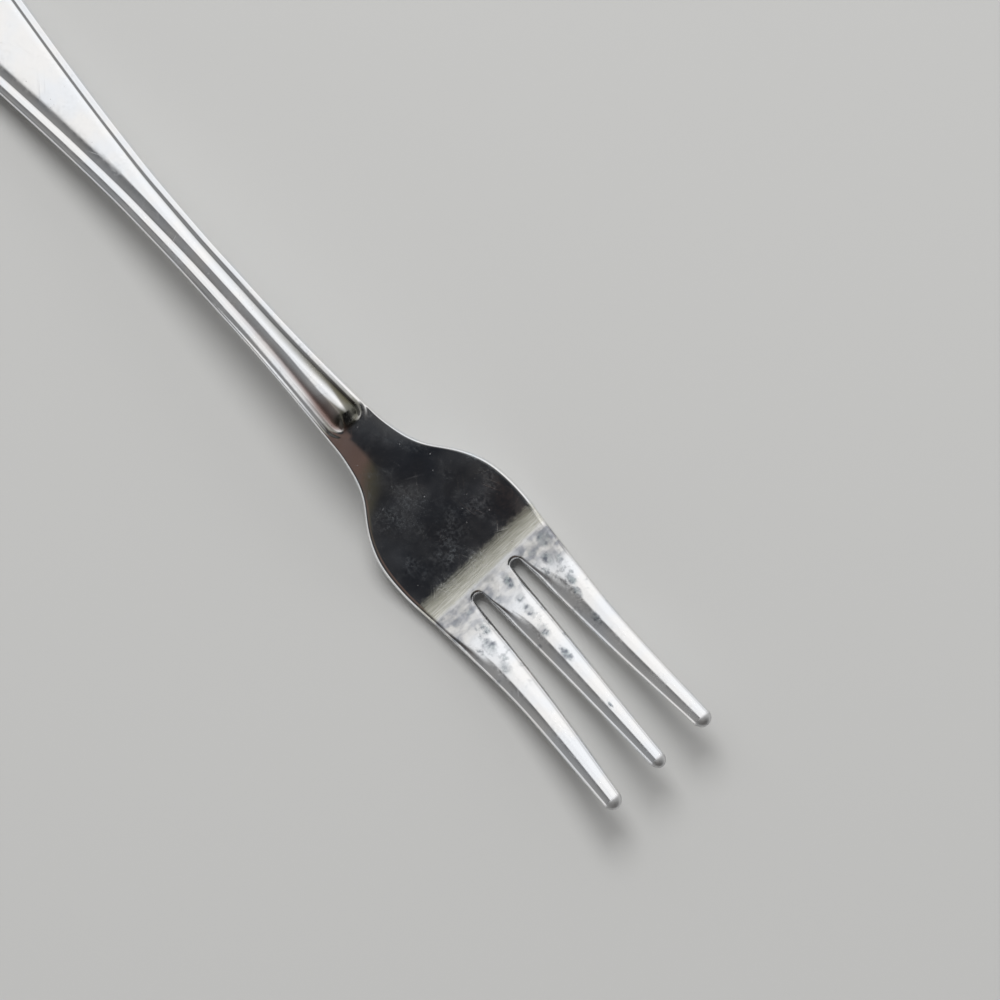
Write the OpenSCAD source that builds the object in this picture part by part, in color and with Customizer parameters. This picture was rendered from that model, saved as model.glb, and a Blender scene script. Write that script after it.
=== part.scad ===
// Oyster fork with three tines: a struck blank under an electroplated skin.
// It lies on its back as on a table, front up, with the tines towards +X.
// The origin is on the table, under the middle of the fork.

/* [Plate] */
// Thickness of the silver skin, the same all over the blank
plate_thickness = 0.03; // [0.02:0.005:0.06]

/* [Handle] */
// From the handle's end to the end of its pattern
handle_length = 95.8; // [80:0.2:110]
// Greatest width of the handle, near its end
end_width = 13.8; // [11:0.2:16]
// From the handle's end to its greatest width
end_reach = 8; // [6:0.2:10]
// Width of the handle at its waist
waist_width = 4.9; // [4.6:0.1:6]
// Width of the neck, where the pattern ends
neck_width = 6.2; // [5.6:0.1:7]
// Thickness of the handle at its end
end_thickness = 1.9; // [1.5:0.1:2.5]
// Thickness of the handle at its waist and neck
waist_thickness = 2.9; // [2.2:0.1:3.4]

/* [Thread border] */
// Width of the raised thread that runs along the edge
thread_width = 1.05; // [0.8:0.05:1.3]
// Height of the thread over the groove beside it
thread_height = 0.4; // [0.2:0.02:0.5]
// Width of the groove between the thread and the panel
groove_width = 0.4; // [0.3:0.02:0.5]
// Width of the sloping side wall outside the thread
side_slope_width = 0.4; // [0.2:0.02:0.5]
// Rise of the panel's middle over the groove
panel_rise = 0.55; // [0.3:0.05:0.7]
// Length over which the pattern closes in a flattened round at the neck
closing_reach = 2.4; // [1.8:0.1:3.1]

/* [Palm] */
// From the end of the pattern to the ends of the slots
palm_length = 21.2; // [19:0.2:26]
// Greatest width of the palm
palm_width = 17.8; // [15:0.2:20]
// Thickness of the palm
palm_thickness = 1.8; // [1.4:0.1:2.2]
// Depth of the hollow across the palm
palm_dish = 0.5; // [0.2:0.1:1.4]

/* [Tines] */
// From the ends of the slots to the tips
tine_length = 28.2; // [24:0.2:32]
// Width across the three tines at the ends of the slots
root_span = 16.85; // [15:0.05:17]
// Width across the three tines halfway to the tips
waist_span = 15.05; // [14.5:0.05:15.6]
// Width across the three tines at the tips
tip_span = 15.4; // [15:0.1:16.4]
// Width of the centre tine at its root
centre_root_width = 4.5; // [4:0.1:5]
// Width of the centre tine halfway along
centre_mid_width = 3.15; // [2.8:0.05:3.4]
// Width of the centre tine at its tip
centre_tip_width = 1.8; // [1.4:0.1:2.2]
// Width of each slot at its round end
slot_root_width = 1.2; // [0.9:0.05:1.5]
// Width of each slot halfway along
slot_mid_width = 2.65; // [2.4:0.05:2.9]
// Width of each slot between the tips
slot_tip_width = 4.7; // [4.4:0.1:5]
// Thickness of the tines at their tips
tip_thickness = 1.25; // [1:0.05:1.5]
// Length of the round end of each tip
tip_reach = 1.1; // [0.7:0.05:1.4]

/* [Side profile] */
// Height of the back over the table at the top of the arch
arch_height = 6.8; // [5:0.1:10]
// Height of the back over the table at the tips
tip_height = 6.6; // [4:0.1:9]
// Height of the back over the table at the handle's end
heel_height = 0.5; // [0.2:0.1:1.2]
// From the handle's end to where its back rests on the table
heel_rest = 12; // [10:0.5:16]

/* [Section] */
// Fall of the front from the spine to the edges at the neck
neck_crown = 0.3; // [0:0.05:0.5]
// Rise of the back from the spine to the edges of the handle
back_round = 0.6; // [0.3:0.05:0.8]
// Width of the rounded edge of the palm
edge_round = 0.36; // [0.2:0.02:0.45]
// Width of the rounded edge of the slots
slot_round = 0.26; // [0.16:0.02:0.4]

/* [Hidden] */

slot_s = handle_length + palm_length;
fork_length = slot_s + tine_length;
slot_radius = slot_root_width / 2;
closing_s = handle_length - closing_reach;
waist_s = 0.74 * handle_length;
waist_end_s = 0.81 * handle_length;
arch_s = 0.985 * handle_length;
palm_rest_s = handle_length + 0.84 * palm_length;

// A smooth line through knots of [place, value], which never overshoots them
function knot_slope(t, i) = (t[i + 1][1] - t[i][1]) / (t[i + 1][0] - t[i][0]);
function knot_tangent(t, i) =
    i == 0 ? knot_slope(t, 0)
    : i == len(t) - 1 ? knot_slope(t, i - 1)
    : let (before = knot_slope(t, i - 1), after = knot_slope(t, i))
      before * after <= 0 ? 0 : 2 * before * after / (before + after);
function line_at(t, s) =
    s <= t[0][0] ? t[0][1]
    : s >= t[len(t) - 1][0] ? t[len(t) - 1][1]
    : let (
        i = max([for (k = [0 : len(t) - 2]) if (t[k][0] <= s) k]),
        run = t[i + 1][0] - t[i][0],
        u = (s - t[i][0]) / run,
        v = 1 - u
      )
      (1 + 2 * u) * v * v * t[i][1] + u * v * v * run * knot_tangent(t, i)
      + u * u * (3 - 2 * u) * t[i + 1][1] - u * u * v * run * knot_tangent(t, i + 1);
function mix(a, b, u) = a + (b - a) * u;

// Outline in plan. Places run from the handle's end, s, and out from the spine, y.
// Each share pair is [share of the run, share of the change in width]
handle_taper_shares = [[0, 0], [0.12, 0.05], [0.3, 0.31], [0.53, 0.65], [0.68, 0.83], [0.82, 0.95]];
shoulder_shares = [[0, 0], [0.08, 0.05], [0.175, 0.14], [0.27, 0.31], [0.36, 0.58], [0.46, 0.805],
    [0.56, 0.94], [0.66, 0.99], [0.75, 1]];
outline_knots = concat(
    [for (p = handle_taper_shares)
        [mix(end_reach, waist_s, p[0]), mix(end_width, waist_width, p[1]) / 2]],
    [[waist_s, waist_width / 2], [waist_end_s, waist_width / 2]],
    [for (p = shoulder_shares)
        [handle_length + palm_length * p[0], mix(neck_width, palm_width, p[1]) / 2]],
    [[slot_s, root_span / 2], [slot_s + tine_length / 2, waist_span / 2], [fork_length, tip_span / 2]]
);
function half_width(s) = line_at(outline_knots, s);

function tine_knots(root, middle, tip) =
    [[slot_s, root], [slot_s + tine_length / 2, middle], [fork_length, tip]];
centre_knots = tine_knots(centre_root_width / 2, centre_mid_width / 2, centre_tip_width / 2);
slot_knots = tine_knots(slot_root_width, slot_mid_width, slot_tip_width);
function centre_half(s) = line_at(centre_knots, s);
function slot_width(s) = line_at(slot_knots, s);
function inner_edge(s) = centre_half(s) + slot_width(s);

// Side profile: the back's height over the table along the spine, and the metal's thickness
back_knots = [
    [0, heel_height],
    [heel_rest, 0],
    [0.5 * handle_length, 0.39 * arch_height],
    [0.8 * handle_length, 0.84 * arch_height],
    [0.95 * handle_length, 0.985 * arch_height],
    [arch_s, arch_height],
    [palm_rest_s, 0],
    [slot_s + 0.3 * tine_length, 0.24 * tip_height],
    [fork_length, tip_height]
];
thickness_knots = [
    [0, end_thickness],
    [0.35 * handle_length, mix(end_thickness, waist_thickness, 0.25)],
    [waist_s, waist_thickness],
    [arch_s, waist_thickness],
    [handle_length + 0.65 * palm_length, palm_thickness],
    [slot_s, palm_thickness],
    [fork_length, tip_thickness]
];
// How much higher the edges lie than the spine, on the front and on the back
front_bend_knots = [
    [0, 0],
    [0.85 * handle_length, 0],
    [handle_length, -neck_crown],
    [handle_length + 0.3 * palm_length, 0],
    [handle_length + 0.75 * palm_length, palm_dish],
    [slot_s + 0.3 * tine_length, 0.8 * palm_dish],
    [fork_length, 0.35 * palm_dish]
];
back_bend_knots = [
    [0, 0.7 * back_round],
    [waist_s, back_round],
    [handle_length, back_round],
    [handle_length + 0.3 * palm_length, back_round],
    [handle_length + 0.75 * palm_length, palm_dish],
    [slot_s + 0.3 * tine_length, 0.8 * palm_dish],
    [fork_length, 0.35 * palm_dish]
];
function sheet_top(s, f) = line_at(back_knots, s) + line_at(thickness_knots, s)
    + line_at(front_bend_knots, s) * f * f;
// The back is flat along its spine, so that the fork lies still on the table
back_flat_share = 0.24;
function sheet_bottom(s, f) =
    let (beyond_flat = max(0, abs(f) - back_flat_share) / (1 - back_flat_share))
    line_at(back_knots, s) + line_at(back_bend_knots, s) * beyond_flat * beyond_flat;

// Pattern on the front of the handle: a thread along the edge, a groove and a crowned panel.
// It depends only on the distance from the pattern's outline, which closes round at the neck.
// Places along the closing end are stretched, so that its round is flatter than the neck is wide
groove_at = side_slope_width + thread_width;
panel_at = groove_at + groove_width / 2;
relief_knots = [
    [side_slope_width, 0],
    [side_slope_width + 0.2 * thread_width, 0.35 * thread_height],
    [side_slope_width + 0.5 * thread_width, 0.5 * thread_height],
    [groove_at - groove_width / 2, 0.25 * thread_height],
    [groove_at, -0.5 * thread_height],
    [panel_at, -0.5 * thread_height + 0.3 * panel_rise],
    [panel_at + groove_width, -0.5 * thread_height + 0.7 * panel_rise],
    [panel_at + 3 * groove_width, -0.5 * thread_height + panel_rise]
];
function relief(depth_in) = line_at(relief_knots, depth_in);
function closing_along(s) = max(0, s - closing_s) * neck_width / 2 / closing_reach;
function depth_in_pattern(s, y) = half_width(s) - norm([closing_along(s), y]);
function closing_radius(depth_in, s) =
    sqrt(max(0, pow(half_width(s) - depth_in, 2) - pow(closing_along(s), 2)));

// Columns of the mesh on each side of the spine, from the spine out to the rim. The first
// run into the centre tine, the next end round the slot, and the last make the outer tine
centre_column_count = 2;
slot_column_count = 4;
outer_column_count = 3;
slot_first = centre_column_count;
slot_last = slot_first + slot_column_count;
columns = slot_last + outer_column_count;
slot_middle = (slot_first + slot_last) / 2;
rim_level_share = 0.75;
panel_column_shares = [0, 0.33, 0.62, 0.85, 1];
panel_last = len(panel_column_shares) - 1;
thread_depths = [groove_at, groove_at - groove_width / 2, side_slope_width + 0.5 * thread_width,
    side_slope_width + 0.2 * thread_width, side_slope_width];
closed_column_share = 0.028;

// Distance from the spine of a column on the handle, for a ray that is `reach` long
function handle_column(c, reach) =
    c <= panel_last ? (reach - panel_at) * panel_column_shares[c]
    : reach - thread_depths[c - panel_last - 1];
// The same where the pattern closes: the columns follow the round end until they meet
function closing_column(c, s) =
    let (least = closed_column_share * c * neck_width)
    c == columns ? half_width(s) - edge_round
    : c <= panel_last ? max(least, closing_radius(panel_at, s) * panel_column_shares[c])
    : c == columns - 1 ? max(least, closing_radius(side_slope_width, s))
    : max(least, closing_radius(thread_depths[c - panel_last - 1], s));

// Where the columns lie as they reach the slots' ends
slot_y = centre_half(slot_s + slot_radius) + slot_radius;
rim_radius = slot_radius + slot_round;
function slot_angle(c) = 90 * (c - slot_middle) / (slot_last - slot_middle);
function is_slot(c) = c >= slot_first && c <= slot_last;
function root_column(c) =
    let (s = slot_s + slot_radius, out = half_width(s) - edge_round)
    c < slot_first ? (slot_y - rim_radius) * c / slot_first
    : c <= slot_last ? slot_y + rim_radius * sin(slot_angle(c))
    : mix(slot_y + rim_radius, out, (c - slot_last) / (columns - slot_last));
function palm_column(c, s) =
    root_column(c) * (half_width(s) - edge_round) / root_column(columns);

// Rows of the mesh along the fork
end_row_count = 6;
function span(from, to, count) = [for (i = [1 : count]) mix(from, to, i / count)];
closing_steps = [panel_at + groove_width, panel_at, groove_at, groove_at - groove_width / 2,
    side_slope_width + 0.5 * thread_width, side_slope_width + 0.2 * thread_width,
    side_slope_width, 0];
closing_share = closing_reach / (neck_width / 2);
slot_clearance = 1.5 * edge_round;
row_places = concat(
    [heel_rest],
    span(heel_rest, waist_s, 9),
    span(waist_s, closing_s, 4),
    [for (step = closing_steps) handle_length - step * closing_share],
    span(handle_length, palm_rest_s, 11),
    span(palm_rest_s, slot_s - slot_clearance - slot_round, 2)
);
body_rows = end_row_count + len(row_places) + 1;
opening_run = 0.3 * palm_length;
function is_end(i) = i <= end_row_count;
function is_root(i) = i == body_rows;
function row_s(i) = is_root(i) ? slot_s + slot_radius : row_places[i - end_row_count - 1];

// Plan of a point on the body: [s, y, share of the way from the spine to the edge]
function end_plan(i, c, skin) =
    let (
        turn = 90 * i / end_row_count,
        way = [-end_reach * cos(turn), end_width / 2 * sin(turn)],
        reach = norm(way),
        out = c > columns ? reach : handle_column(c, reach),
        held = out * (1 - skin / reach)
    )
    [end_reach + way[0] * held / reach, way[1] * held / reach, out / reach];
function body_plan(i, c, skin) =
    let (
        s = row_s(i),
        edge = half_width(s),
        opened = min(1, max(0, (s - handle_length) / opening_run)),
        out = c > columns ? edge
            : s <= closing_s ? handle_column(c, edge)
            : s <= handle_length ? closing_column(c, s)
            : mix(closing_column(c, handle_length) * edge / half_width(handle_length),
                palm_column(c, s), opened)
    )
    c == columns && s > closing_s
        ? [s, edge - edge_round - skin, (edge - edge_round) / edge]
        : [s, out * (1 - skin / edge), out / edge];
function root_plan(c, skin) =
    let (s = slot_s + slot_radius, edge = half_width(s))
    c > columns ? [s, edge - skin, 1]
    : is_slot(c)
        ? [s - (rim_radius + skin) * cos(slot_angle(c)),
            slot_y + (rim_radius + skin) * sin(slot_angle(c)), root_column(c) / edge]
    : [s, root_column(c) - (c == columns ? skin : 0), root_column(c) / edge];
function plan(i, c, skin) =
    is_end(i) ? end_plan(i, c, skin) : is_root(i) ? root_plan(c, skin) : body_plan(i, c, skin);

function column_level(i, c) =
    c == columns || (is_root(i) && is_slot(c)) ? rim_level_share : 1;
function pattern_lift(i, c, p) =
    is_end(i) ? relief(norm([end_reach * cos(90 * i / end_row_count),
        end_width / 2 * sin(90 * i / end_row_count)]) * (1 - p[2]))
    : p[0] < handle_length ? relief(depth_in_pattern(p[0], p[1]))
    : 0;

// A point of the body: side is -1 or 1, face is 1 on the front, -1 on the back, 0 on the edge
function body_point(i, c, side, face, skin) =
    let (
        p = plan(i, c, skin),
        bare = plan(i, c, 0),
        top = sheet_top(bare[0], bare[2]),
        bottom = sheet_bottom(bare[0], bare[2]),
        half = (top - bottom) / 2 * column_level(i, c),
        lift = face > 0 ? pattern_lift(i, c, bare) : 0
    )
    [p[0] - fork_length / 2, side * p[1], (top + bottom) / 2 + face * (half - skin) + lift];

// Tines: columns across each one as shares of its half width inside the rounded edges
centre_cross_shares = [-1, -0.5, 0, 0.5, 1];
outer_cross_shares = [-1, -1 / 3, 1 / 3, 1];
tine_row_places = span(slot_s + slot_radius, fork_length - tip_reach, 13);
tip_turns = [30, 55, 75];
tine_rows = len(tine_row_places) + len(tip_turns);
tip_side_share = 0.75;
// Share of the tines' length over which their flat section turns oval
oval_run_share = 0.4;

function tine_cross(which) = which == 0 ? centre_cross_shares : outer_cross_shares;
// [s, share of the full width that is left in the round tip]
function tine_row(m, skin) =
    m < len(tine_row_places) ? [tine_row_places[m], 1]
    : let (turn = tip_turns[m - len(tine_row_places)])
      [fork_length - tip_reach + (tip_reach - skin) * sin(turn), cos(turn)];
function tine_middle(which, s) = which * (half_width(s) + inner_edge(s)) / 2;
function tine_half(which, s) =
    which == 0 ? centre_half(s) : (half_width(s) - inner_edge(s)) / 2;
// cross runs from -1 to 1 across the tine; at_edge is true for the points on its side walls
function tine_point(which, m, cross, at_edge, face, skin) =
    let (
        row = tine_row(m, skin),
        s = row[0],
        left = row[1],
        along = (s - slot_s) / tine_length,
        half = tine_half(which, s) * left - skin,
        root_share = 1 - edge_round / tine_half(which, slot_s),
        side_share = mix(root_share, tip_side_share, along),
        reach = at_edge ? half : half * side_share,
        y = tine_middle(which, s) + cross * reach,
        f = y / half_width(s),
        top = sheet_top(s, f),
        bottom = sheet_bottom(s, f),
        flat_level = abs(cross) == 1 ? rim_level_share : 1,
        oval_level = sqrt(1 - pow(cross * side_share, 2)),
        level = mix(flat_level, oval_level, min(1, along / oval_run_share))
    )
    [s - fork_length / 2, y, (top + bottom) / 2 + face * ((top - bottom) / 2 * level * left - skin)];
function tip_point(which, skin) =
    let (y = tine_middle(which, fork_length), f = y / half_width(fork_length))
    [fork_length / 2 - skin, y, (sheet_top(fork_length, f) + sheet_bottom(fork_length, f)) / 2];

// All points: body rings, slot walls, tine rings and tips
ring_size = 4 * columns + 4;
function ring_points(i, skin) = concat(
    [for (c = [-columns : columns]) body_point(i, abs(c), sign(c), 1, skin)],
    [body_point(i, columns + 1, 1, 0, skin)],
    [for (c = [columns : -1 : -columns]) body_point(i, abs(c), sign(c), -1, skin)],
    [body_point(i, columns + 1, -1, 0, skin)]
);
wall_columns = [for (c = [slot_first : slot_last]) c];
function wall_point(c, side, skin) =
    let (
        out = slot_radius + skin,
        s = slot_s + slot_radius - out * cos(slot_angle(c)),
        y = slot_y + out * sin(slot_angle(c)),
        f = y / half_width(s)
    )
    [s - fork_length / 2, side * y, (sheet_top(s, f) + sheet_bottom(s, f)) / 2];
function tine_ring(which, m, skin) = concat(
    [for (u = tine_cross(which)) tine_point(which, m, u, false, 1, skin)],
    [tine_point(which, m, 1, true, 0, skin)],
    [for (u = tine_cross(which)) tine_point(which, m, -u, false, -1, skin)],
    [tine_point(which, m, -1, true, 0, skin)]
);
function form_points(skin) = concat(
    [for (i = [0 : body_rows], p = ring_points(i, skin)) p],
    [for (side = [-1, 1], c = wall_columns) wall_point(c, side, skin)],
    [for (which = [-1, 0, 1], m = [0 : tine_rows - 1], p = tine_ring(which, m, skin)) p],
    [for (which = [-1, 0, 1]) tip_point(which, skin)]
);

// Numbers of the points. The rows round the handle's end share one spine point,
// and the first row is folded on the axis, so its two sides are the same points
function front_id(i, c) =
    c == 0 && is_end(i) ? columns
    : i == 0 ? abs(c) + columns
    : i * ring_size + c + columns;
function back_id(i, c) =
    c == 0 && is_end(i) ? 3 * columns + 2
    : i == 0 ? 3 * columns + 2 - abs(c)
    : i * ring_size + 3 * columns + 2 - c;
function right_id(i) = i * ring_size + 2 * columns + 1;
function left_id(i) = i == 0 ? right_id(0) : (i + 1) * ring_size - 1;
function ring_ids(i) = concat(
    [for (c = [-columns : columns]) front_id(i, c)], [right_id(i)],
    [for (c = [columns : -1 : -columns]) back_id(i, c)], [left_id(i)]
);
walls_from = (body_rows + 1) * ring_size;
function wall_id(c) =
    walls_from + (c < 0 ? 0 : len(wall_columns)) + abs(c) - slot_first;
tines_from = walls_from + 2 * len(wall_columns);
function tine_size(which) = 2 * len(tine_cross(which)) + 2;
function tine_from(which) =
    tines_from + (which > -1 ? tine_rows * tine_size(-1) : 0) + (which > 0 ? tine_rows * tine_size(0) : 0);
function tine_columns(which) =
    which == 0 ? [for (c = [-slot_first : slot_first]) c]
    : which > 0 ? [for (c = [slot_last : columns]) c]
    : [for (c = [-columns : -slot_last]) c];
function edge_id(c) = c == columns ? right_id(body_rows) : c == -columns ? left_id(body_rows) : wall_id(c);
function backwards(list) = [for (k = [len(list) - 1 : -1 : 0]) list[k]];
function tine_ids(which, m) =
    m >= 0 ? [for (k = [0 : tine_size(which) - 1]) tine_from(which) + m * tine_size(which) + k]
    : let (held = tine_columns(which), last = len(held) - 1)
      concat([for (c = held) front_id(body_rows, c)], [edge_id(held[last])],
          [for (c = backwards(held)) back_id(body_rows, c)], [edge_id(held[0])]);
tips_from = tine_from(1) + tine_rows * tine_size(1);

// Faces: each four-sided patch is two triangles, and one that has shrunk to a line is left out
function triangle(a, b, c) = a == b || b == c || a == c ? [] : [[a, b, c]];
function patch(a, b, c, d) = concat(triangle(a, b, c), triangle(a, c, d));
function strip(ring, next) = [for (j = [0 : len(ring) - 1])
    let (k = (j + 1) % len(ring))
    each patch(ring[j], ring[k], next[k], next[j])];
body_faces = [for (i = [0 : body_rows - 1]) each strip(ring_ids(i), ring_ids(i + 1))];
wall_faces = [for (first = [-slot_last, slot_first], c = [first : first + slot_last - slot_first - 1])
    each concat(
        patch(front_id(body_rows, c), front_id(body_rows, c + 1), wall_id(c + 1), wall_id(c)),
        patch(wall_id(c), wall_id(c + 1), back_id(body_rows, c + 1), back_id(body_rows, c)))];
tine_faces = [for (which = [-1, 0, 1], m = [-1 : tine_rows - 2])
    each strip(tine_ids(which, m), tine_ids(which, m + 1))];
tip_faces = [for (which = [-1, 0, 1])
    let (ring = tine_ids(which, tine_rows - 1))
    each [for (j = [0 : len(ring) - 1])
        [ring[j], ring[(j + 1) % len(ring)], tips_from + which + 1]]];

// The fork's form, lying `skin` under the finished surface
module fork_form(skin) {
    polyhedron(points = form_points(skin), faces = concat(body_faces, wall_faces, tine_faces, tip_faces));
}

module blank() {
    color([0.72, 0.68, 0.58]) fork_form(plate_thickness);
}

module silver_plate() {
    color("silver") difference() {
        fork_form(0);
        fork_form(plate_thickness);
    }
}

blank();
silver_plate();
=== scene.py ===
import math

import bmesh
import bpy
import numpy as np
from mathutils import Matrix, Vector


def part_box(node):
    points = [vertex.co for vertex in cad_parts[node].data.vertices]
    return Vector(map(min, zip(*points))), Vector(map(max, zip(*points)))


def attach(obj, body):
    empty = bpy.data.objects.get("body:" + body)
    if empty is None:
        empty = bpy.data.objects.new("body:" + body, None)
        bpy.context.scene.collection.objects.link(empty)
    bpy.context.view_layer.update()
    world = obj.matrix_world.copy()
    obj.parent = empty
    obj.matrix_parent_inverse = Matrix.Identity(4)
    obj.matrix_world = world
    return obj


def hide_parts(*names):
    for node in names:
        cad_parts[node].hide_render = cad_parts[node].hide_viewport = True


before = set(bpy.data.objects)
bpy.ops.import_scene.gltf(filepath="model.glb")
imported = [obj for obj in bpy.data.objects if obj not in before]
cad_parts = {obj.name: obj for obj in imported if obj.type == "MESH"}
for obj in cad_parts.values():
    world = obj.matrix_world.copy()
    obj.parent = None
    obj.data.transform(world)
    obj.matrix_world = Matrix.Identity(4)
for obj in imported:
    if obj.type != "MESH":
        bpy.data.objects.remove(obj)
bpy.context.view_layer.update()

# Blank
# The struck base-metal fork, from the handle's end to the tips of its three tines.
# It is nickel silver, pressed between two dies, and the whole form comes from it: the thread
# border on the handle, the bowed neck, the dished palm and the tapering tines.
mm = 0.001
plate_low, plate_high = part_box("silver_plate")
plate_thickness = 0.03

# Lengths in millimetres. Places run from the handle's end, s, and out from the spine, y
fork_length = (plate_high.x - plate_low.x) / mm
tine_length = 28.2
palm_length = 21.2
slot_s = fork_length - tine_length
handle_length = slot_s - palm_length
end_width, end_reach = 13.8, 8
waist_width, neck_width = 4.9, 6.2
palm_width = (plate_high.y - plate_low.y) / mm
end_thickness, waist_thickness, palm_thickness, tip_thickness = 1.9, 2.9, 1.8, 1.25
side_width, thread_width, groove_width = 0.4, 1.05, 0.4
palm_dish, neck_crown, back_round, back_flat_share = 0.42, 0.48, 0.6, 0.24
arch_height, tip_height, heel_height, heel_rest = 6.8, 6.6, 0.5, 12
root_span, waist_span, tip_span = 16.85, 15.05, 15.4
centre_widths, slot_widths = (4.5, 3.15, 1.8), (1.2, 2.65, 4.7)
slot_radius = slot_widths[0] / 2
handle_edge_round, edge_round, slot_round = 0.27, 0.45, 0.25
tip_reach, oval_run_share = 1.1, 0.24
waist_s = 0.74 * handle_length
arch_s = 0.985 * handle_length
wider_edge_s = 0.98 * handle_length
palm_rest_s = handle_length + 0.84 * palm_length
profile_easing, outline_easing = 3.5, 1.5


def mix(a, b, share):
    return a + (b - a) * share


def smooth_share(value, low, high):
    """0 up to the low value and 1 from the high one, with a smooth change between them."""
    share = np.clip((value - low) / (high - low), 0, 1)
    return share * share * (3 - 2 * share)


def line_at(knots, s):
    """A smooth line through knots of (place, value), which never overshoots them."""
    place, value = np.array(knots, float).T
    slope = np.diff(value) / np.diff(place)
    before, after = slope[:-1], slope[1:]
    agree = before * after > 0
    turn = np.where(agree, 2 * before * after / np.where(agree, before + after, 1), 0)
    tangent = np.concatenate((slope[:1], turn, slope[-1:]))
    s = np.clip(s, place[0], place[-1])
    i = np.clip(np.searchsorted(place, s, "right") - 1, 0, len(place) - 2)
    run = place[i + 1] - place[i]
    u = (s - place[i]) / run
    v = 1 - u
    return ((1 + 2 * u) * v * v * value[i] + u * v * v * run * tangent[i]
            + u * u * (3 - 2 * u) * value[i + 1] - u * u * v * run * tangent[i + 1])


def eased_line_at(knots, s, reach):
    """The same line averaged over a short reach, so that the polished metal shows no kink."""
    s = np.asarray(s, float)
    reach = np.maximum(0, np.minimum(reach, np.minimum(s - knots[0][0], knots[-1][0] - s)))
    offsets = np.linspace(-1, 1, 11)
    weights = np.cos(offsets * math.pi / 2.2) ** 2
    held = sum(w * line_at(knots, s + o * reach) for o, w in zip(offsets, weights))
    return held / weights.sum()


taper_shares = [(0, 0), (0.12, 0.05), (0.3, 0.31), (0.53, 0.65), (0.68, 0.83), (0.82, 0.95)]
shoulder_shares = [
    (0, 0), (0.08, 0.05), (0.175, 0.14), (0.27, 0.31), (0.36, 0.58), (0.46, 0.805),
    (0.56, 0.94), (0.66, 0.99), (0.75, 1)]
outline_knots = (
    [(mix(end_reach, waist_s, p), mix(end_width, waist_width, q) / 2) for p, q in taper_shares]
    + [(waist_s, waist_width / 2), (0.81 * handle_length, waist_width / 2)]
    + [(handle_length + palm_length * p, mix(neck_width, palm_width, q) / 2)
       for p, q in shoulder_shares]
    + [(slot_s, root_span / 2), (slot_s + tine_length / 2, waist_span / 2),
       (fork_length, tip_span / 2)])
tine_places = (slot_s, slot_s + tine_length / 2, fork_length)
centre_knots = [(s, w / 2) for s, w in zip(tine_places, centre_widths)]
slot_knots = [(slot_s + slot_radius, slot_widths[0])] + list(zip(tine_places, slot_widths))[1:]
back_knots = [
    (0, heel_height), (heel_rest, 0), (0.5 * handle_length, 0.39 * arch_height),
    (0.8 * handle_length, 0.84 * arch_height), (0.95 * handle_length, 0.985 * arch_height),
    (arch_s, arch_height), (palm_rest_s, 0),
    (slot_s + 0.3 * tine_length, 0.24 * tip_height), (fork_length, tip_height)]
thickness_knots = [
    (0, end_thickness), (0.35 * handle_length, mix(end_thickness, waist_thickness, 0.25)),
    (waist_s, waist_thickness), (arch_s, waist_thickness),
    (handle_length + 0.65 * palm_length, palm_thickness), (slot_s, palm_thickness),
    (fork_length, tip_thickness)]
dished_knots = [
    (handle_length + 0.75 * palm_length, palm_dish),
    (slot_s + 0.3 * tine_length, 0.8 * palm_dish), (fork_length, 0.35 * palm_dish)]
front_bend_knots = [
    (0, 0), (0.84 * handle_length, 0), (0.95 * handle_length, -0.35 * neck_crown),
    (handle_length + 0.12 * palm_length, -neck_crown),
    (handle_length + 0.45 * palm_length, 0)] + dished_knots
back_bend_knots = [
    (0, 0.7 * back_round), (waist_s, back_round), (handle_length, back_round),
    (handle_length + 0.3 * palm_length, back_round)] + dished_knots


def half_width(s):
    return eased_line_at(outline_knots, s, outline_easing)


def centre_half(s):
    return line_at(centre_knots, s)


def inner_edge(s):
    return line_at(centre_knots, s) + line_at(slot_knots, s)


def profile(knots, s):
    return eased_line_at(knots, s, profile_easing)


# The pattern on the front, as heights by how far in from its outline they lie: a thread along
# the edge, a groove and a crowned panel. The groove is narrow on the broad part of the handle
# and opens at the neck, where the panel's flank is longer on the side of -y. The pattern is
# struck a little towards +y, and past its closing end the front is plain
pattern_shift, closing_reach, crest_half = 0.24, 3, 0.45
panel_at = side_width + thread_width + groove_width / 2
broad_knots = [
    (0.15, 0), (0.3, 0.08), (0.75, 0.135), (1.15, 0.13), (1.38, 0.035), (1.5, 0.06),
    (1.8, 0.123), (2.1, 0.168), (2.4, 0.195), (2.9, 0.218), (6, 0.28)]
neck_thread_knots = [(0.3, 0), (0.5, 0.09), (0.75, 0.125), (1, 0.11), (1.5, -0.1)]
neck_knots = neck_thread_knots + [(1.7, -0.06), (2.3, 0.18), (2.85, 0.25), (3.2, 0.27)]
low_side_neck_knots = neck_thread_knots + [
    (1.72, -0.06), (2.3, 0.115), (2.75, 0.225), (3.05, 0.262), (3.2, 0.27)]
plain_knots = [(0, 0), (3.2, 0.27)]


def closing_along(s):
    """How far a place has gone into the round closing, as a half width of the pattern."""
    return neck_width / 2 * np.maximum(0, (s - handle_length + closing_reach) / closing_reach) ** 1.5


def depth_in_pattern(s, y):
    """Distance in from the pattern's outline, which closes round at the neck and at the end."""
    from_end = np.hypot((s - end_reach) / end_reach, y * 2 / end_width)
    reach = np.hypot(s - end_reach, y)
    end_depth = reach / np.maximum(from_end, 0.001) - reach
    end_depth = end_depth + pattern_shift * y / np.maximum(reach, 0.001)
    depth = half_width(s) - np.hypot(y - pattern_shift, closing_along(s))
    return np.where(s < end_reach, end_depth, depth)


def nearing_neck(s):
    return smooth_share(s, 0.5 * handle_length, 0.9 * handle_length)


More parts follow.
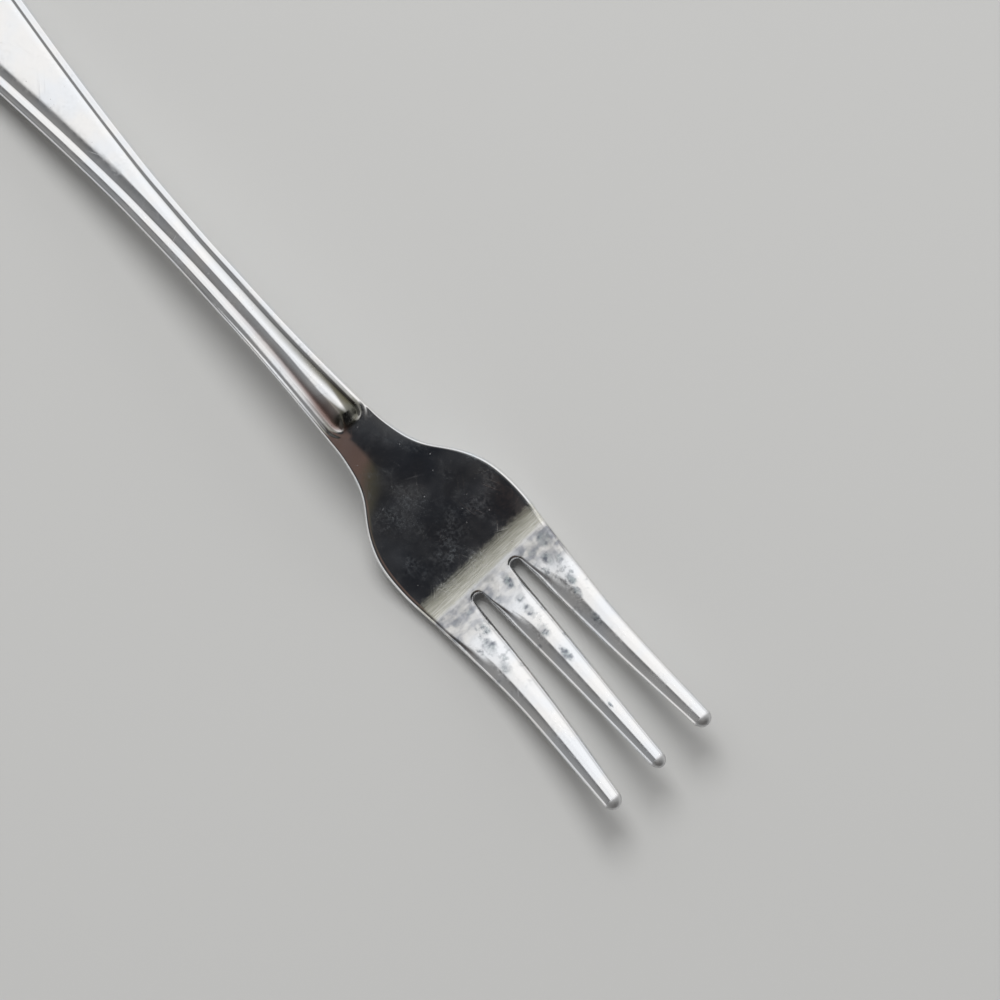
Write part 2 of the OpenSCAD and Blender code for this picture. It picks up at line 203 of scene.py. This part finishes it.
def pattern_lift(s, y):
    """Height of the pattern over the handle. The thread runs out round the closing end."""
    along = closing_along(s)
    turned = along / np.maximum(np.hypot(y, along), 0.01)
    depth = depth_in_pattern(s, y)
    low_side = 1 - smooth_share(y, pattern_shift - crest_half, pattern_shift + crest_half)
    at_neck = mix(line_at(neck_knots, depth), line_at(low_side_neck_knots, depth), low_side)
    relief = mix(line_at(broad_knots, depth), at_neck, nearing_neck(s))
    lift = mix(relief, line_at(plain_knots, depth), smooth_share(turned, 0.55, 0.95))
    return np.where(s < handle_length, lift, 0)


# Each half of a ring has these columns: panel, groove and thread on the handle, and then
# centre tine, slot and outer tine. Edge points turn the ring from the front to the back
columns, panel_columns = 28, 10
slot_first, slot_last = 9, 17
edge_points = 7
rim_inset = 0.12
end_rows, palm_rows, slot_rows, tine_rows = 22, 46, 6, 56
row_gap, closing_row_gap, joining_gap = 0.7, 0.13, 0.6
closing_rows_s, pattern_end_s, straight_end_s = handle_length - 3.4, handle_length + 0.5, slot_s - 1.1
opening_reach = 0.3 * palm_length
slot_y = float(centre_half(slot_s + slot_radius)) + slot_radius
rim_radius = slot_radius + rim_inset
column = np.arange(columns + 1)
panel_shares = np.sin(np.clip(column / panel_columns, 0, 1) * math.pi / 2)
border_depths = mix(panel_at, rim_inset, np.clip(
    (column - panel_columns) / (columns - panel_columns), 0, 1))
slot_turns = np.clip((column - slot_first) / (slot_last - slot_first), 0, 1) * math.pi - math.pi / 2


def handle_columns(reach):
    return np.where(column <= panel_columns, (reach - panel_at) * panel_shares, reach - border_depths)


def root_columns():
    """Places of the columns across the tines' roots, where they go round the slot's end."""
    s = slot_s + slot_radius
    inner = (slot_y - rim_radius) * np.sin(np.clip(column / slot_first, 0, 1) * math.pi / 2)
    across = np.clip((column - slot_last) / (columns - slot_last), 0, 1)
    eased = (1 - np.cos(across * math.pi)) / 2
    outer = mix(slot_y + rim_radius, float(half_width(s)) - rim_inset, mix(across, eased, 0.5))
    round_slot = slot_y + rim_radius * np.sin(slot_turns)
    y = np.where(column < slot_first, inner, np.where(column > slot_last, outer, round_slot))
    on_slot = (column >= slot_first) & (column <= slot_last)
    return np.where(on_slot, s - rim_radius * np.cos(slot_turns), s), y


def plan_rows():
    """Plan of the columns of one half, row by row: arrays of s, y and distance from the edge."""
    rows = []
    for turn in np.linspace(0, math.pi / 2, end_rows):
        way = Vector((-end_reach * math.cos(turn), end_width / 2 * math.sin(turn)))
        reach = way.length
        out = handle_columns(reach)
        rows.append((end_reach + way.x / reach * out, way.y / reach * out, reach - out, way))
    places = np.concatenate((
        np.arange(end_reach + joining_gap, closing_rows_s, row_gap),
        np.arange(closing_rows_s, pattern_end_s, closing_row_gap),
        np.linspace(handle_length + joining_gap, straight_end_s, palm_rows)))
    root_s, root_y = root_columns()
    for s in places:
        edge = float(half_width(s))
        opened = smooth_share(s, pattern_end_s, pattern_end_s + opening_reach)
        spread = root_y * (edge - rim_inset) / root_y[-1]
        y = mix(handle_columns(edge), spread, opened)
        rows.append((np.full(columns + 1, s), y, edge - y, None))
    last_s, last_y = rows[-1][:2]
    for share in np.linspace(0, 1, slot_rows + 1)[1:]:
        s, y = mix(last_s, root_s, share), mix(last_y, root_y, share)
        rows.append((s, y, half_width(s) - y, None))
    return rows


def level(inset, reach):
    """How high a rounded edge has risen, from 0 at its side to 1 where the face begins."""
    return np.sqrt(1 - np.clip(1 - inset / reach, 0, 1) ** 2)


def edge_levels(rim_level):
    turns = np.arange(1, edge_points + 1) / (edge_points + 1) * math.pi
    return rim_level * np.cos(turns)


def edge_insets(levels, reach):
    return reach * (1 - np.sqrt(1 - levels ** 2))


def heights(s, y, levels):
    """Height of a point between the back, at level -1, and the front, at level 1."""
    f = y / half_width(s)
    beyond_flat = np.maximum(0, np.abs(f) - back_flat_share) / (1 - back_flat_share)
    back = profile(back_knots, s)
    bottom = back + profile(back_bend_knots, s) * beyond_flat ** 2
    top = back + profile(thickness_knots, s) + profile(front_bend_knots, s) * f * f
    return (top + bottom) / 2 + (top - bottom) / 2 * levels


def body_rings():
    """Closed rings of the body: front from left to right, right edge, back and left edge."""
    rings = []
    for s, y, inset, way in plan_rows():
        reach = mix(handle_edge_round, edge_round, smooth_share(
            s[-1], wider_edge_s, wider_edge_s + 0.5 * palm_length))
        rim = level(inset, reach)
        if way is None:
            to_slot = np.hypot(np.maximum(slot_s + slot_radius - s, 0), y - slot_y) - slot_radius
            rim = np.minimum(rim, level(np.maximum(to_slot, rim_inset), slot_round))
        levels = edge_levels(rim[-1])
        insets = edge_insets(levels, reach)
        if way is None:
            edge_s = np.full(edge_points, s[-1])
            edge_y = half_width(edge_s) - insets
        else:
            out = (way.length - insets) / way.length
            edge_s, edge_y = end_reach + way.x * out, way.y * out
        front, left_front = (
            np.stack((s, side * y, heights(s, y, rim) + pattern_lift(s, side * y)), 1)
            for side in (1, -1))
        edge = np.stack((edge_s, edge_y, heights(edge_s, edge_y, levels)), 1)
        behind = np.stack((s, y, heights(s, y, -rim)), 1)[::-1]
        left = (1, -1, 1)
        rings.append(np.concatenate((
            left_front[:0:-1], front, edge, behind, (behind * left)[::-1][1:], (edge * left)[::-1])))
    return rings


def slot_wall():
    """The wall round the right slot's end, as rows from the front rim to the back rim."""
    turns = slot_turns[slot_first:slot_last + 1]
    rim_level = float(level(np.array(rim_inset), slot_round))
    levels = np.concatenate(([rim_level], edge_levels(rim_level), [-rim_level]))
    rows = []
    for held in levels:
        out = slot_radius + float(edge_insets(held, slot_round))
        s = slot_s + slot_radius - out * np.cos(turns)
        y = slot_y + out * np.sin(turns)
        rows.append(np.stack((s, y, heights(s, y, np.full(len(s), held))), 1))
    return np.array(rows)


# The tines are numbered 0 for the centre one and 1 for the outer ones
oval_columns_share = 0.86
tip_turns = np.radians((12, 24, 36, 48, 60, 70, 80, 86))


def root_ring(body, wall, which):
    """The ring where a tine leaves the body: part of the body's last ring and the slot's walls."""
    flip = np.array((1, -1, 1))
    behind_at = 2 * columns + 1 + edge_points + columns
    inner = slot_first if which == 0 else slot_last
    if which == 0:
        front = body[columns - inner:columns + inner + 1]
        behind = body[behind_at - inner:behind_at + inner + 1]
        side = wall[1:-1, 0]
        return np.concatenate((front, side, behind, (side * flip)[::-1]))
    front = body[columns + inner:2 * columns + 1]
    edge = body[2 * columns + 1:2 * columns + 1 + edge_points]
    behind = body[2 * columns + 1 + edge_points:behind_at - inner + 1]
    return np.concatenate((front, edge, behind, wall[1:-1, -1][::-1]))


def tine_rings(which):
    """Rings of one tine from the slots' ends to its round tip: flat at the root, oval beyond."""
    root_s, root_y = root_columns()
    cross = (np.concatenate((-root_y[slot_first:0:-1], root_y[:slot_first + 1])) if which == 0
             else root_y[slot_last:])
    start, tip_start = slot_s + slot_radius, fork_length - tip_reach
    places = [(s, 1) for s in np.linspace(start, tip_start, tine_rows)[1:]]
    places += [(tip_start + tip_reach * math.sin(turn), math.cos(turn)) for turn in tip_turns]

    def middle_half(s):
        if which == 0:
            return 0, float(centre_half(s))
        outer, inner = float(half_width(s)), float(inner_edge(s))
        return (outer + inner) / 2, (outer - inner) / 2

    middle, half = middle_half(start)
    shares = (cross - middle) / half
    even_shares = np.linspace(-1, 1, len(shares)) * oval_columns_share
    rings = []
    for s, left in places:
        middle, half = middle_half(s)
        along = smooth_share(s, start, start + oval_run_share * tine_length)
        outer_reach = mix(slot_round if which == 0 else edge_round, half, along)
        inner_reach = mix(slot_round, half, along)
        u = mix(shares, even_shares, along)
        rim = np.minimum(level(half * (1 - u), outer_reach), level(half * (1 + u), inner_reach))
        right_levels, left_levels = edge_levels(rim[-1]), edge_levels(rim[0])
        right_u = 1 - edge_insets(right_levels, outer_reach) / half
        left_u = 1 - edge_insets(left_levels, inner_reach) / half
        across = np.concatenate((u, right_u, u[::-1], -left_u[::-1])) * half * left + middle
        levels = np.concatenate((rim, right_levels, -rim[::-1], -left_levels)) * left
        s_all = np.full(len(across), s)
        rings.append(np.stack((s_all, across, heights(s_all, across, levels)), 1))
    tip = np.array([[fork_length, middle, float(heights(fork_length, middle, 0))]])
    return rings, tip


def fork_form(name):
    """One closed mesh of the whole fork, in the frame's metres."""
    points, faces = [], []

    def add(rows, closed):
        size, first = len(rows[0]), len(points)
        for row in rows:
            points.extend(row)
        for i in range(len(rows) - 1):
            for j in range(size if closed else size - 1):
                k = (j + 1) % size
                a, b = first + i * size, first + (i + 1) * size
                faces.append((a + j, a + k, b + k, b + j))
        return first

    body, wall = body_rings(), slot_wall()
    add(body, True)
    for side in (-1, 1):
        add(wall * (1, side, 1), False)
    for which in (0, 1):
        rings, tip = tine_rings(which)
        rings.insert(0, root_ring(body[-1], wall, which))
        for side in ((1,) if which == 0 else (-1, 1)):
            flip = np.array((1, side, 1))
            first = add([ring * flip for ring in rings], True)
            size = len(rings[0])
            points.extend(tip * flip)
            last = first + (len(rings) - 1) * size
            faces.extend((last + j, last + (j + 1) % size, len(points) - 1) for j in range(size))
    places = (np.array(points) - (fork_length / 2, 0, 0)) * mm
    mesh = bpy.data.meshes.new(name)
    mesh.from_pydata(places.tolist(), [], faces)
    form = bmesh.new()
    form.from_mesh(mesh)
    bmesh.ops.remove_doubles(form, verts=form.verts, dist=2e-6)
    bmesh.ops.recalc_face_normals(form, faces=form.faces)
    return mesh, form


def finished_piece(mesh, form, material):
    form.to_mesh(mesh)
    form.free()
    mesh.materials.append(material)
    mesh.polygons.foreach_set("use_smooth", [True] * len(mesh.polygons))
    piece = bpy.data.objects.new(mesh.name, mesh)
    bpy.context.collection.objects.link(piece)
    return piece


def node(tree, kind, inputs=(), **settings):
    made = tree.nodes.new(kind)
    for key, value in settings.items():
        setattr(made, key, value)
    for socket, value in dict(inputs).items():
        if hasattr(value, "is_output"):
            tree.links.new(value, made.inputs[socket])
        else:
            made.inputs[socket].default_value = value
    return made


def calculated(tree, operation, a, b=0.0):
    return node(tree, "ShaderNodeMath", {0: a, 1: b}, operation=operation).outputs[0]


def times(tree, product, *others):
    for other in others:
        product = calculated(tree, "MULTIPLY", product, other)
    return product


def plus(tree, a, b):
    return calculated(tree, "ADD", a, b)


def less(tree, a, b):
    return calculated(tree, "SUBTRACT", a, b)


def ease(tree, value, low, high, at_low=0.0, at_high=1.0):
    """A smooth change from one value to another as the input goes from low to high."""
    return node(tree, "ShaderNodeMapRange", {
        "Value": value, "From Min": low, "From Max": high, "To Min": at_low, "To Max": at_high},
        interpolation_type="SMOOTHSTEP").outputs["Result"]


def between(tree, value, low, high, soft):
    """1 from low to high, with soft ends."""
    return times(tree, ease(tree, value, low - soft, low + soft),
                 ease(tree, value, high - soft, high + soft, 1.0, 0.0))


def blend(tree, share, a, b, kind="MIX"):
    made = node(tree, "ShaderNodeMix", {"Factor": share}, data_type="RGBA", blend_type=kind)
    for socket, value in ((6, a), (7, b)):
        if hasattr(value, "is_output"):
            tree.links.new(value, made.inputs[socket])
        else:
            made.inputs[socket].default_value = (*value, 1)
    return made.outputs[2]


def cloud(tree, place, size, detail=3.0, stretch=(1, 1, 1)):
    """Noise with patches of about the given size in millimetres."""
    held = node(tree, "ShaderNodeMapping", {"Vector": place, "Scale": stretch}, vector_type="TEXTURE")
    return node(tree, "ShaderNodeTexNoise", {
        "Vector": held.outputs[0], "Scale": 1 / size, "Detail": detail}).outputs["Fac"]


def place_in_mm(tree):
    held = node(tree, "ShaderNodeTexCoord").outputs["Object"]
    return node(tree, "ShaderNodeVectorMath", {0: held, 1: (1 / mm, 1 / mm, 1 / mm)},
                operation="MULTIPLY").outputs[0]


def new_material(name):
    material = bpy.data.materials.new(name)
    material.use_nodes = True
    tree = material.node_tree
    return material, tree, tree.nodes["Principled BSDF"]


def hairlines_group():
    """Short straight scratches in a few directions, as wiping and washing leave on metal."""
    group = bpy.data.node_groups.new("hairlines", "ShaderNodeTree")
    group.interface.new_socket("Place", in_out="INPUT", socket_type="NodeSocketVector")
    group.interface.new_socket("Share", in_out="INPUT", socket_type="NodeSocketFloat")
    group.interface.new_socket("Mask", in_out="OUTPUT", socket_type="NodeSocketFloat")
    entry, leave = group.nodes.new("NodeGroupInput"), group.nodes.new("NodeGroupOutput")
    total = None
    for degrees, length, width in (
            (8, 9, 0.09), (27, 5, 0.11), (64, 7, 0.08), (104, 12, 0.1), (141, 6, 0.07)):
        turned = node(group, "ShaderNodeMapping", {
            "Vector": entry.outputs["Place"], "Rotation": (0, 0, math.radians(degrees)),
            "Scale": (length, width, 200)}, vector_type="TEXTURE")
        cells = node(group, "ShaderNodeTexVoronoi", {"Vector": turned.outputs[0], "Scale": 1.0})
        picked = node(group, "ShaderNodeSeparateColor", {"Color": cells.outputs["Color"]})
        kept = calculated(group, "LESS_THAN", picked.outputs[0], entry.outputs["Share"])
        line = times(group, ease(group, cells.outputs["Distance"], 0.05, 0.35, 1.0, 0.0), kept,
                     picked.outputs[1])
        total = line if total is None else calculated(group, "MAXIMUM", total, line)
    group.links.new(total, leave.inputs["Mask"])
    return group


mesh, form = fork_form("blank")
form.normal_update()
for vertex in form.verts:
    vertex.co -= vertex.normal * plate_thickness * mm
blank_metal, tree, shader = new_material("nickel silver")
place = place_in_mm(tree)
hairlines = hairlines_group()
scratches = node(tree, "ShaderNodeGroup", {"Place": place, "Share": 0.6}, node_tree=hairlines).outputs[0]
grain = cloud(tree, place, 0.12, 4.0, (6, 1, 1))
tone = cloud(tree, place, 9, 2.0)
shader_links = {
    "Base Color": blend(tree, tone, (0.68, 0.64, 0.54), (0.76, 0.72, 0.62)),
    "Roughness": plus(tree, ease(tree, grain, 0.3, 0.7, 0.26, 0.4), times(tree, scratches, 0.2)),
    "Normal": node(tree, "ShaderNodeBump", {
        "Height": grain, "Strength": 0.25, "Distance": 0.02 * mm}).outputs[0]}
for socket, value in shader_links.items():
    tree.links.new(value, shader.inputs[socket])
shader.inputs["Metallic"].default_value = 1
blank = finished_piece(mesh, form, blank_metal)
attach(blank, "root")
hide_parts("blank")

# Silver plate
# The electroplated silver that covers the blank all over, a few hundredths of a millimetre
# thick. It is polished bright, and carries the hairlines and spots of use, dull places, and painted shade
# at the panel's end and beside its crown.
mesh, form = fork_form("silver_plate_skin")
form.verts.ensure_lookup_table()
points = np.array([vertex.co for vertex in form.verts]) / mm + (fork_length / 2, 0, 0)
s, y, z = points.T
middle_z = profile(back_knots, s) + profile(thickness_knots, s) / 2
groove_middle, groove_half = mix(1.32, 1.55, nearing_neck(s)), mix(0.2, 0.75, nearing_neck(s))
in_groove = 1 - smooth_share(np.abs(depth_in_pattern(s, y) - groove_middle), 0, groove_half)
recess = np.where((z > middle_z) & (s < handle_length), in_groove, 0)

silver, tree, shader = new_material("polished silver plate")
place = place_in_mm(tree)
axes = node(tree, "ShaderNodeSeparateXYZ", {"Vector": place})
x, y_across = axes.outputs["X"], axes.outputs["Y"]
tip_x, root_x = fork_length / 2, slot_s - fork_length / 2
handle_end_x = handle_length - fork_length / 2
groove = node(tree, "ShaderNodeAttribute", attribute_name="recess").outputs["Fac"]
normal_up = node(tree, "ShaderNodeSeparateXYZ", {
    "Vector": node(tree, "ShaderNodeNewGeometry").outputs["Normal"]}).outputs["Z"]
front = ease(tree, normal_up, 0.2, 0.6)

# Marks of use: hairlines everywhere, faint clouds of wiping, and dust
scratches = node(tree, "ShaderNodeGroup", {"Place": place, "Share": 0.13}, node_tree=hairlines).outputs[0]
wiped = ease(tree, cloud(tree, place, 3.2, 5.0), 0.42, 0.72)
mottle = cloud(tree, place, 0.55, 4.0)
dust_cells = node(tree, "ShaderNodeTexVoronoi", {"Vector": place, "Scale": 1.4})
dust_pick = node(tree, "ShaderNodeSeparateColor", {"Color": dust_cells.outputs["Color"]})
dust = times(tree, ease(tree, dust_cells.outputs["Distance"], 0.06, 0.13, 1.0, 0.0),
             calculated(tree, "GREATER_THAN", dust_pick.outputs[0], 0.86), dust_pick.outputs[1], front)

# A yellowish band across the roots of the tines, with fine lines in it
band = between(tree, plus(tree, x, times(tree, mottle, 0.5)), root_x - 3.2, root_x - 0.6, 0.35)
band_lines = cloud(tree, place, 0.16, 2.0, (1, 14, 14))
band = times(tree, band, front)

# Grey-blue stains on the roots and the first half of the tines: a wash with soft clouds, and
# a few spots that are worth placing one by one, as x, y, half length and half width
strokes = ease(tree, cloud(tree, place, 0.42, 5.0), 0.4, 0.6)
root_zone = between(tree, plus(tree, x, times(tree, cloud(tree, place, 3, 2.0), 5.0)),
                    root_x + 0.9, root_x + 5.3, 1.4)
root_zone = times(tree, root_zone, ease(tree, x, root_x - 0.9, root_x - 0.5))
spread_zone = between(tree, x, root_x + 0.5, root_x + 11, 2.5)
clouds = times(tree, ease(tree, cloud(tree, place, 1.5, 4.0), 0.52, 0.68), spread_zone,
               plus(tree, times(tree, strokes, 0.5), 0.25))
root_clouds = times(tree, ease(tree, cloud(tree, place, 1.5, 3.5), 0.25, 0.66), root_zone)
root_clouds = plus(tree, times(tree, root_clouds, 0.55), times(tree, root_zone, 0.42))
root_mottle = cloud(tree, place, 1.25, 2.5, (0.8, 1.5, 1))
placed_spots = (
    (48.0, 0.65, 0.45, 0.5), (49.8, 0.45, 0.8, 0.45), (52.5, 0.2, 0.75, 0.55),
    (56.2, 0.33, 0.85, 0.4), (63.6, 0.2, 0.4, 0.15), (45.8, 0.9, 0.9, 0.4),
    (49.8, -5.45, 0.9, 0.6), (52.7, -5.7, 0.8, 0.5), (48.0, -4.55, 0.7, 0.4),
    (50.5, 6.3, 0.7, 0.4), (52.0, 5.8, 0.7, 0.35), (46.9, 5.9, 0.8, 0.5),
    (55.4, 5.4, 0.9, 0.35), (45.1, 7, 0.8, 0.7))
spots = None
for spot_x, spot_y, length, width in placed_spots:
    away = node(tree, "ShaderNodeVectorMath", {0: place, 1: (spot_x, spot_y, 0)}, operation="SUBTRACT")
    away = node(tree, "ShaderNodeVectorMath", {0: away.outputs[0], 1: (1 / length, 1 / width, 0)},
                operation="MULTIPLY")
    reach = node(tree, "ShaderNodeVectorMath", {0: away.outputs[0]}, operation="LENGTH").outputs["Value"]
    spot = ease(tree, plus(tree, reach, times(tree, mottle, 1.2)), 1.15, 2.15, 1.0, 0.0)
    spots = spot if spots is None else calculated(tree, "MAXIMUM", spots, spot)
smears = ease(tree, cloud(tree, place, 0.75, 5.0, (1, 1.7, 1)), 0.4, 0.6)
spots = times(tree, spots, plus(tree, times(tree, smears, 0.6), 0.4))
stains = times(tree, calculated(tree, "MAXIMUM", clouds, spots), front)

# The groove of the pattern is darkened, strongest towards the neck, and the panel's end gets painted
# shade
near_neck = ease(tree, x, handle_end_x - 24, handle_end_x - 3)
groove_dark = times(tree, groove, plus(tree, times(tree, near_neck, 0.8), 0.15))
panel_end_painted_shade = times(
    tree, ease(tree, x, handle_end_x - 3.6, handle_end_x - 2.4),
    ease(tree, x, handle_end_x - 1.7, handle_end_x - 0.7, 1.0, 0.0), front,
    between(tree, y_across, -0.9, 2.3, 0.5))

# The bright crown of the panel narrows to a dot, with painted shade beside it
dot_x, crown_y, crown_slope = handle_end_x - 3.0, 0.68, 0.14
off_crown = calculated(tree, "ABSOLUTE", less(tree, y_across, crown_y))
crown_half = times(tree, less(tree, dot_x, x), crown_slope)
painted_shade_beside_crown = times(
    tree, ease(tree, less(tree, off_crown, crown_half), 0.05, 0.35),
    ease(tree, x, handle_end_x - 8, handle_end_x - 4), between(tree, y_across, -1.75, 1.85, 0.4),
    ease(tree, x, handle_end_x - 2.4, handle_end_x - 1.2, 1.0, 0.0), front)
dull_tip = ease(tree, x, tip_x - 1.3, tip_x - 0.8)

# Colour, from the clean silver up through what lies on it, with painted shade at the panel's end and
# beside its crown
haze = times(tree, wiped, ease(tree, cloud(tree, place, 0.35, 3.0), 0.35, 0.7))
on_palm = between(tree, x, handle_end_x, root_x - 3.5, 1.5)
band_colour = blend(tree, ease(tree, band_lines, 0.35, 0.65), (0.7, 0.69, 0.61), (0.88, 0.87, 0.8))
root_colour = blend(tree, ease(tree, root_mottle, 0.36, 0.62), (0.3, 0.31, 0.34), (0.66, 0.65, 0.63))
stain_colour = blend(tree, ease(tree, mottle, 0.38, 0.62), (0.16, 0.18, 0.22), (0.42, 0.47, 0.49))
# A dark colour: the groove's darkening, brown-red on the side of -y and olive on the other, and also the
# painted shade beside the panel's crown
dark_colour = blend(tree, ease(tree, y_across, -0.6, 0.6), (0.2, 0.13, 0.115), (0.13, 0.12, 0.08))
tint = ease(tree, cloud(tree, place, 4.5, 2.0), 0.35, 0.65)
colour = blend(tree, tint, (0.9, 0.92, 0.95), (0.95, 0.94, 0.93))
for mask, layer in (
        (times(tree, band, 0.9), band_colour), (times(tree, root_clouds, front), root_colour),
        (times(tree, stains, 0.9), stain_colour), (groove_dark, dark_colour),
        # painted shade beside the panel's crown and at the panel's end, put into the colour
        (times(tree, painted_shade_beside_crown, 0.8), dark_colour),
        (times(tree, panel_end_painted_shade, 0.85), (0.15, 0.15, 0.13)), (dull_tip, (0.6, 0.6, 0.6)),
        (times(tree, haze, on_palm), (0.8, 0.87, 0.92))):
    colour = blend(tree, mask, colour, layer)

rough = ease(tree, mottle, 0.3, 0.7, 0.07, 0.13)
for mask, more in (
        (haze, 0.12), (scratches, 0.16), (stains, 0.14), (band, 0.08), (groove_dark, 0.12),
        (dull_tip, 0.4), (dust, 0.5)):
    rough = plus(tree, rough, times(tree, mask, more))

height = times(tree, cloud(tree, place, 7, 1.0), 14.0)
for mask, more in (
        (scratches, -0.5), (times(tree, band_lines, band), 1.1), (times(tree, mottle, stains), 2.0)):
    height = plus(tree, height, times(tree, mask, more))

# A film of dust and fingermarks, which scatters a little light over the mirror
film = plus(tree, times(tree, haze, 0.05), ease(tree, cloud(tree, place, 5, 3.0), 0.35, 0.7, 0.0, 0.03))
covered = calculated(tree, "MAXIMUM", film, times(tree, dust, 0.16))
shader_links = {
    "Base Color": colour, "Roughness": rough, "Metallic": less(tree, 1.0, covered),
    "Normal": node(tree, "ShaderNodeBump", {
        "Height": height, "Strength": 1.0, "Distance": 0.004 * mm}).outputs[0]}
for socket, value in shader_links.items():
    tree.links.new(value, shader.inputs[socket])
plate = finished_piece(mesh, form, silver)
plate.data.attributes.new("recess", "FLOAT", "POINT").data.foreach_set("value", recess.astype(np.float32))
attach(plate, "root")
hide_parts("silver_plate")

# Table and light
# A plain pale table top under a soft studio light. The light is a white screen up beyond the
# handle's end and to the fork's right, with a dark space over the palm, as for polished ware.
scene = bpy.context.scene
scene.view_settings.view_transform = "Standard"
table_mesh = bpy.data.meshes.new("table")
half_table = 3
table_mesh.from_pydata(
    [(x * half_table, y * half_table, 0) for x, y in ((-1, -1), (1, -1), (1, 1), (-1, 1))],
    [], [(0, 1, 2, 3)])
table = bpy.data.objects.new("table", table_mesh)
scene.collection.objects.link(table)
table_paint, tree, shader = new_material("pale table")
shader.inputs["Base Color"].default_value = (0.58, 0.58, 0.57, 1)
shader.inputs["Roughness"].default_value = 0.9
shader.inputs["Specular IOR Level"].default_value = 0.1
table_mesh.materials.append(table_paint)

studio = bpy.data.worlds.new("studio")
scene.world = studio
studio.use_nodes = True
tree = studio.node_tree
background = tree.nodes["Background"]
direction = node(tree, "ShaderNodeSeparateXYZ", {
    "Vector": node(tree, "ShaderNodeTexCoord").outputs["Generated"]})


def angle(axis):
    """Degrees from straight up towards an axis."""
    turned = calculated(tree, "ARCTAN2", direction.outputs[axis], direction.outputs["Z"])
    return times(tree, turned, math.degrees(1))


def ramp(value, stops):
    """A colour ramp over a value, with stops of (value, brightness or colour)."""
    low, high = stops[0][0], stops[-1][0]
    share = node(tree, "ShaderNodeMapRange", {"Value": value, "From Min": low, "From Max": high})
    made = node(tree, "ShaderNodeValToRGB", {"Fac": share.outputs["Result"]})
    elements = made.color_ramp.elements
    while len(elements) < len(stops):
        elements.new(0.5)
    for element, (place, colour) in zip(elements, stops):
        element.position = (place - low) / (high - low)
        element.color = (*colour, 1) if isinstance(colour, tuple) else (colour, colour, colour, 1)
    return made.outputs["Color"]


# Brightness by direction, in degrees from straight up: along the fork, and across it for what
# each part of the fork mirrors
along, across = angle("X"), angle("Y")
ceiling = ramp(along, [
    (-38, 1.0), (-30, 0.92), (-22, 0.88), (-17, 0.88), (-14.7, 0.7), (-13, 0.45),
    (-11.5, (0.33, 0.33, 0.31)), (-9, (0.37, 0.37, 0.33)), (-6, (0.4, 0.4, 0.36))])
beside_handle = ramp(across, [
    (-90, 0.5), (-74, 0.3), (-60, 0.2), (-46, 0.22), (-38, 0.3), (-29, 0.52), (-21, 0.94),
    (-16, 1.0), (62, 1.0), (76, 0.85), (90, 0.8)])
beside_neck = ramp(across, [
    (-90, 0.5), (-74, 0.2), (-62, 0.05), (-46, (0.075, 0.052, 0.046)), (-38, 0.17), (-29, 0.42),
    (-21, 0.94), (-16, 1.0), (56, 1.0), (72, 0.5), (90, 0.6)])
beside_tines = ramp(across, [
    (-90, 0.5), (-72, 0.26), (-30, 0.24), (-17, 0.16), (-13.5, 0.12), (-10, 0.95), (-6, 1.0),
    (50, 1.0), (72, 0.6), (90, 0.6)])
over_palm = ramp(across, [
    (-90, 0.3), (-62, 0.06), (-40, (0.02, 0.02, 0.017)), (-14, (0.016, 0.016, 0.018)),
    (14, (0.014, 0.016, 0.02)), (30, 0.05), (44, 0.18), (58, 1.0), (90, 0.7)])
warm = ramp(along, [
    (6, (0.1, 0.066, 0.056)), (37, (0.11, 0.074, 0.062)), (44, (0.055, 0.05, 0.035)), (54, 0.016)])
warm_side = times(tree, ease(tree, across, -11, -15.5), ease(tree, across, -40, -30))
over_palm = blend(tree, warm_side, over_palm, warm)
over_palm = blend(tree, ease(tree, along, 61, 72), over_palm, (0.6, 0.6, 0.6))
beside_handle = blend(tree, ease(tree, along, -19, -15.5), beside_handle, beside_neck)
sides = blend(tree, ease(tree, along, -19.5, -22.5), beside_handle, beside_tines)
right_screen = times(tree, ease(tree, across, 8, 24), ease(tree, across, 70, 50))
sky = blend(tree, 1.0, ceiling, sides, "MULTIPLY")
sky = blend(tree, right_screen, sky, (1, 1, 1))
sky = blend(tree, ease(tree, along, -6.3, -5.3), sky, over_palm)
sky = blend(tree, ease(tree, direction.outputs["Z"], 0.38, 0.2), sky, (0.8, 0.8, 0.8))
tree.links.new(sky, background.inputs["Color"])

key_light = bpy.data.lights.new("key", "AREA")
key_light.shape = "DISK"
key_light.size = 0.5
key_light.energy = 6
key = bpy.data.objects.new("key", key_light)
key.location = (-0.35, 0.35, 0.8)
key.rotation_euler = (-key.location).to_track_quat("-Z", "Y").to_euler()
key.visible_glossy = False
scene.collection.objects.link(key)

# Camera
# It looks down on the palm from a little beyond the tips, with the handle running out of the
# picture at the upper left.
camera_data = bpy.data.cameras.new("camera")
camera_data.lens, camera_data.sensor_width = 120, 36
camera = bpy.data.objects.new("camera", camera_data)
scene.collection.objects.link(camera)
target, camera_distance = Vector((38.6, 6.35, 3)) * mm, 370 * mm
lean_to_tips, lean_to_right = math.radians(6.7), math.radians(2.1)
towards = Vector((math.tan(lean_to_tips), math.tan(lean_to_right), 1)).normalized()
camera.location = target + towards * camera_distance
fork_slope = math.radians(47.4)
fork_axis = (Vector((1, 0, 0)) - towards * towards.x).normalized()
fork_side = towards.cross(fork_axis)
right_way = fork_axis * math.cos(fork_slope) + fork_side * math.sin(fork_slope)
up_way = towards.cross(right_way)
camera.matrix_world = Matrix.Translation(camera.location) @ Matrix(
    (right_way, up_way, towards)).transposed().to_4x4()
scene.camera = camera
